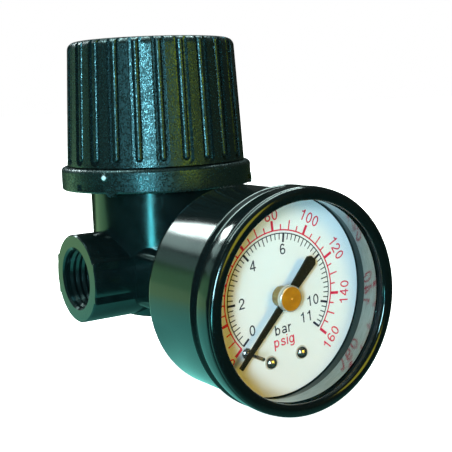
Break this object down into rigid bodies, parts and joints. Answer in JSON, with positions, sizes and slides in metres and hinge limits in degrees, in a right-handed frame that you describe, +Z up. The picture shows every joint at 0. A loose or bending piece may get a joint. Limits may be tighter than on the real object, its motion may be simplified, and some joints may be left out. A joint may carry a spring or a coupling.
{
  "type": "miniature air pressure regulator",
  "caption": "Black in-line air pressure regulator with a fluted adjusting knob on top and a round pressure gauge on its front.",
  "frame": {"origin": "centre of the inlet port's face, on the axis of both ports", "axes": "+X from the inlet to the outlet, +Z up along the knob, the gauge faces -Y"},
  "size_m": [0.041, 0.0721, 0.0692],
  "materials": {
    "body_black": "satin black paint on die-cast metal",
    "bonnet_black": "moulded, fine grain",
    "knob_black": "moulded, spark-eroded grain",
    "plug_black": "moulded",
    "case_black": "glossy black paint on steel",
    "bezel_black": "glossy black paint on steel",
    "brass": "machined",
    "hub_brass": "turned, lightly tarnished",
    "bronze": "drawn",
    "steel": "zinc plated",
    "bright_steel": "polished",
    "spring_steel": "drawn wire",
    "rubber": "moulded",
    "slip_plastic": "natural acetal",
    "dial_white": "matt white paint",
    "pointer_black": "matt black paint",
    "dial_red": "red print on the dial",
    "dial_ink": "dark blue print on the dial",
    "lens_clear": "clear acrylic"
  },
  "bodies": {
    "regulator": {"body": "body_black", "valve_seat": "brass", "poppet_spring": "spring_steel", "bottom_plug": "plug_black", "plug_o_ring": "rubber", "rear_port_plug": "steel", "diaphragm": "rubber", "slip_ring": "slip_plastic", "range_spring": "spring_steel", "thrust_washer": "slip_plastic", "bonnet": "bonnet_black", "gauge_stem": "brass", "gauge_case": "case_black", "case_screws": "steel", "bourdon_tube": "bronze", "tube_tip": "brass", "movement_back_plate": "brass", "movement_front_plate": "brass", "movement_pillars": "brass", "movement_screws": "steel", "hairspring": "bronze", "dial_plate": "dial_white", "dial_screws": "bright_steel", "stop_pin": "bright_steel", "lens_ring": "bright_steel", "lens_gasket": "rubber", "lens": "lens_clear", "bezel": "bezel_black"},
    "knob": {"knob": "knob_black", "adjusting_screw": "steel", "screw_clip": "spring_steel"},
    "nut": {"spring_nut": "brass"},
    "valve": {"spring_plate": "steel", "relief_stud": "brass", "valve_poppet": "brass", "poppet_seal": "rubber"},
    "sector": {"sector_gear": "brass", "sector_arbor": "steel"},
    "pointer": {"pinion_arbor": "steel", "pointer": "pointer_black", "pointer_hub": "hub_brass"},
    "link": {"link": "brass"}
  },
  "joints": [
    {"name": "knob_turn", "type": "hinge", "parent": "regulator", "child": "knob", "pos_m": [0.0205, 0, 0.03], "axis": [0, 0, -1], "range_deg": [0, 1440]},
    {"name": "nut_slide", "type": "slide", "parent": "regulator", "child": "nut", "axis": [0, 0, -1], "range_m": [0, 0.005], "deforming": ["range_spring"]},
    {"name": "valve_lift", "type": "slide", "parent": "regulator", "child": "valve", "axis": [0, 0, -1], "range_m": [0, 0.0008], "stiffness_N_per_m": 600, "springref_m": -0.002, "deforming": ["poppet_spring", "diaphragm"]},
    {"name": "sector_swing", "type": "hinge", "parent": "regulator", "child": "sector", "pos_m": [0.02146, 0, -0.01015], "axis": [0, -1, 0], "range_deg": [0, 36], "stiffness_Nm_per_rad": 0.002, "springref_deg": -2.29},
    {"name": "pointer_turn", "type": "hinge", "parent": "regulator", "child": "pointer", "pos_m": [0.0205, 0, 0], "axis": [0, 1, 0], "range_deg": [0, 270]},
    {"name": "link_swing", "type": "hinge", "parent": "sector", "child": "link", "pos_m": [0.02262, 0, -0.01346], "axis": [0, -1, 0], "range_deg": [-36, 0]}
  ],
  "couplings": [
    {"joint": "nut_slide", "follows": "knob_turn", "m_per_rad": 0.00019894},
    {"joint": "pointer_turn", "follows": "sector_swing", "ratio": 7.5},
    {"joint": "link_swing", "follows": "sector_swing", "ratio": -1}
  ]
}
